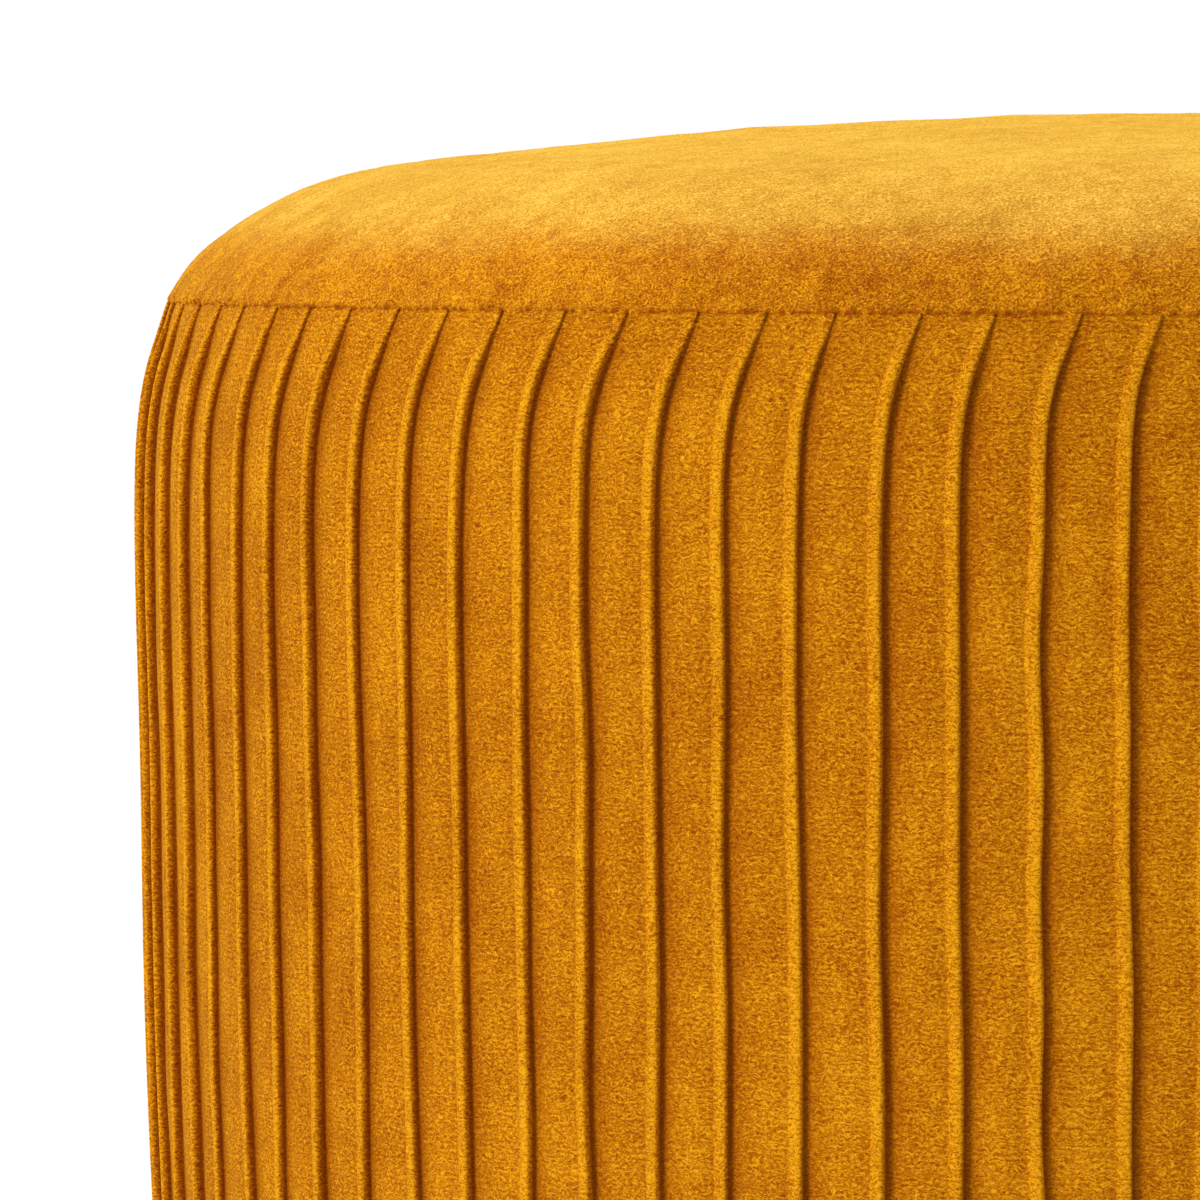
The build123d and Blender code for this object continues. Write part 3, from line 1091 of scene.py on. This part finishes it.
def lining_material(name, dark, light, thread, strip):
    """A plain weave. On a strip the threads run round the wall and up it; else along x and y."""
    n = Nodes(name)
    x, y, z = n.parts()
    across, up = x, y
    if strip:
        across, up = n.math("MULTIPLY", n.math("ARCTAN2", x, y), NECK_OUTER), z
    warp = n.math("SINE", n.math("MULTIPLY", across, 2 * math.pi / thread))
    weft = n.math("SINE", n.math("MULTIPLY", up, 2 * math.pi / thread))
    weave = n.math("ADD", n.math("MULTIPLY", n.math("MULTIPLY", warp, weft), 0.5), 0.5)
    slub = n.noise(1.8 * MM, detail=3.0, roughness=0.6)
    worn = n.noise(60 * MM, detail=3.0)
    tone = n.math("ADD", n.math("MULTIPLY", weave, 0.45), n.math("MULTIPLY", slub, 0.55))
    colour = n.ramp(tone, ((0.25, dark), (0.75, light)))
    faded = tuple(1.35 * channel for channel in light)
    colour = n.mix(n.scaled(worn, 0.0, 0.5), colour, faded)
    n.bump(n.math("ADD", weave, n.math("MULTIPLY", slub, 0.6)), 0.16 * MM, 0.8)
    return n.surface(colour=colour, roughness=0.88, specular=0.15, sheen=0.12)


def plywood_material():
    """Birch plywood: pale figured faces, and the plies in bands where a cut edge shows."""
    n = Nodes("birch_plywood")
    grain = n.noise(7 * MM, detail=6.0, roughness=0.6, scale=(1, 0.06, 1), distortion=0.8)
    pores = n.noise(0.8 * MM, detail=2.0, scale=(1, 0.12, 1))
    face = n.ramp(grain, ((0.30, (0.50, 0.33, 0.17)), (0.70, (0.74, 0.56, 0.35))))
    plies = n.math("SINE", n.math("MULTIPLY", n.parts()["Z"], 2 * math.pi / (3 * MM)))
    plies = n.scaled(n.math("GREATER_THAN", plies, 0.0), 0.0, 0.35)
    colour = n.mix(plies, face, (0.40, 0.24, 0.11))
    colour = n.mix(n.scaled(pores, 0.0, 0.35), colour, (0.30, 0.17, 0.08))
    n.bump(n.math("ADD", grain, pores), 0.12 * MM, 0.6)
    return n.surface(colour=colour, roughness=0.62, specular=0.3)


def fibreboard_material():
    """Bent hardboard: brown pressed fibre, faintly clouded."""
    n = Nodes("fibreboard")
    fibres = n.noise(1.6 * MM, detail=6.0, roughness=0.75, distortion=1.2)
    cloud = n.noise(30 * MM, detail=3.0)
    colour = n.ramp(fibres, ((0.30, (0.17, 0.095, 0.045)), (0.72, (0.40, 0.25, 0.135))))
    colour = n.mix(n.scaled(cloud, 0.0, 0.35), colour, (0.30, 0.18, 0.09))
    n.bump(fibres, 0.15 * MM, 0.7)
    return n.surface(colour=colour, roughness=0.75, specular=0.2)


def glide_material():
    """Black moulded nylon, scuffed on its foot."""
    n = Nodes("glide_nylon")
    mould = n.noise(0.5 * MM, detail=2.0)
    scuffs = n.noise(3 * MM, detail=5.0, roughness=0.7, scale=(0.3, 1, 1))
    colour = n.ramp(scuffs, ((0.45, (0.018, 0.018, 0.019)), (0.80, (0.085, 0.083, 0.080))))
    n.bump(n.math("ADD", mould, n.math("MULTIPLY", scuffs, 0.4)), 0.05 * MM, 0.6)
    return n.surface(colour=colour, roughness=n.scaled(scuffs, 0.42, 0.7), specular=0.45)


def steel_material():
    """Zinc-plated steel wire and screws, with a little tarnish."""
    n = Nodes("zinc_plated_steel")
    drawn = n.noise(0.4 * MM, detail=3.0, scale=(1, 1, 6))
    tarnish = n.noise(2.2 * MM, detail=4.0, roughness=0.6)
    colour = n.ramp(tarnish, ((0.35, (0.66, 0.66, 0.64)), (0.80, (0.40, 0.39, 0.36))))
    n.bump(drawn, 0.02 * MM, 0.5)
    return n.surface(colour=colour, roughness=n.scaled(tarnish, 0.28, 0.52), metallic=1.0)


def dress_frame():
    """Better materials on the CAD nodes that stay."""
    looks = {
        plywood_material(): ("base_board", "drum_wall", "lid_wall", "lid_deck_board"),
        fibreboard_material(): ("neck_liner", "storage_floor_board"),
        glide_material(): ("floor_glides",),
        steel_material(): (
            "glide_nails",
            "base_staples",
            "drum_wall_screws",
            "drum_rim_staples",
            "lid_wall_screws",
            "lid_rim_staples",
        ),
    }
    for material, names in looks.items():
        for name in names:
            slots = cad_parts[name].data.materials
            slots.clear()
            slots.append(material)


dress_frame()
DARK_CLOTH, LIGHT_CLOTH = (0.030, 0.027, 0.025), (0.090, 0.083, 0.078)
wall_cloth = lining_material("wall_lining", DARK_CLOTH, LIGHT_CLOTH, 1.1 * MM, True)
flat_cloth = lining_material("flat_lining", DARK_CLOTH, LIGHT_CLOTH, 1.1 * MM, False)
black_cloth = lining_material(
    "dust_cloth", (0.010, 0.010, 0.011), (0.034, 0.034, 0.036), 1.6 * MM, False
)
for piece in (storage_wall_piece, lid_wall_piece):
    piece.data.materials.append(wall_cloth)
for piece in (storage_floor_piece, lid_deck_piece):
    piece.data.materials.append(flat_cloth)
dust_piece.data.materials.append(black_cloth)

foam_look = foam_material()
for piece in foam_pieces:
    piece.data.materials.append(foam_look)
wadding.data.materials.append(wadding_material())

# ---- studio

SEEN_WHITE = 1.02  # the strength of the white behind the ottoman
AROUND_WHITE = 0.34  # and of the white light from all round


def studio_floor():
    """A pale floor that turns white with distance, so that it has no edge."""
    size = 14.0
    corners = [(-size, -size, 0), (size, -size, 0), (size, size, 0), (-size, size, 0)]
    floor = new_piece("studio_floor", corners, [(0, 1, 2, 3)])
    n = Nodes("studio_floor")
    n.surface(colour=(0.80, 0.80, 0.80), roughness=0.9, specular=0.1)
    distance = n.add("ShaderNodeVectorMath", {0: n.place}, operation="LENGTH")
    far = n.rise(distance.outputs["Value"], 0.5, 1.9)
    glow = n.add("ShaderNodeEmission", {"Color": (1, 1, 1, 1), "Strength": SEEN_WHITE})
    surfaces = {1: n.shader.outputs[0], 2: glow.outputs[0]}
    blend = n.add("ShaderNodeMixShader", {0: far, **surfaces})
    n.link(blend.outputs[0], n.tree.nodes["Material Output"].inputs["Surface"])
    floor.data.materials.append(n.material)


def studio_world():
    world = bpy.data.worlds.new("studio")
    bpy.context.scene.world = world
    world.use_nodes = True
    tree = world.node_tree
    around, seen = tree.nodes["Background"], tree.nodes.new("ShaderNodeBackground")
    for background, strength in ((around, AROUND_WHITE), (seen, SEEN_WHITE)):
        background.inputs["Color"].default_value = (1, 1, 1, 1)
        background.inputs["Strength"].default_value = strength
    path = tree.nodes.new("ShaderNodeLightPath")
    mix = tree.nodes.new("ShaderNodeMixShader")
    tree.links.new(path.outputs["Is Camera Ray"], mix.inputs[0])
    tree.links.new(around.outputs[0], mix.inputs[1])
    tree.links.new(seen.outputs[0], mix.inputs[2])
    tree.links.new(mix.outputs[0], tree.nodes["World Output"].inputs["Surface"])


def soft_light(name, place, aim, size, watts, colour=(1, 1, 1)):
    data = bpy.data.lights.new(name, "AREA")
    data.shape = "SQUARE"
    data.size = size
    data.energy = watts
    data.color = colour
    lamp = bpy.data.objects.new(name, data)
    bpy.context.scene.collection.objects.link(lamp)
    lamp.location = place
    lamp.rotation_mode = "QUATERNION"
    lamp.rotation_quaternion = (Vector(aim) - Vector(place)).to_track_quat("-Z", "Y")


def studio_camera():
    """A long lens nearly level with the seat, looking a little left of the ottoman's middle."""
    distance = 8 * OUTER_RADIUS
    above_seam = 17.4 * MM
    yaw, pitch = math.radians(4.241), math.radians(-2.52)
    data = bpy.data.cameras.new("studio_camera")
    data.sensor_width = 36.0
    data.lens = 272.5
    data.clip_start = 0.05
    data.clip_end = 60.0
    camera = bpy.data.objects.new("studio_camera", data)
    bpy.context.scene.collection.objects.link(camera)
    camera.location = (0, -distance, SEAM_LEVEL + above_seam)
    level = math.cos(pitch)
    aim = Vector((-math.sin(yaw) * level, math.cos(yaw) * level, math.sin(pitch)))
    camera.rotation_mode = "QUATERNION"
    camera.rotation_quaternion = aim.to_track_quat("-Z", "Y")
    bpy.context.scene.camera = camera


studio_floor()
studio_world()
soft_light("key", (-2.3, -1.7, 1.5), (0, 0, 0.33), 1.1, 62, (1.0, 0.985, 0.96))
soft_light("overhead", (-0.2, 0.7, 2.1), (0, 0, 0.4), 1.6, 48)
studio_camera()
bpy.context.scene.view_settings.view_transform = "Standard"
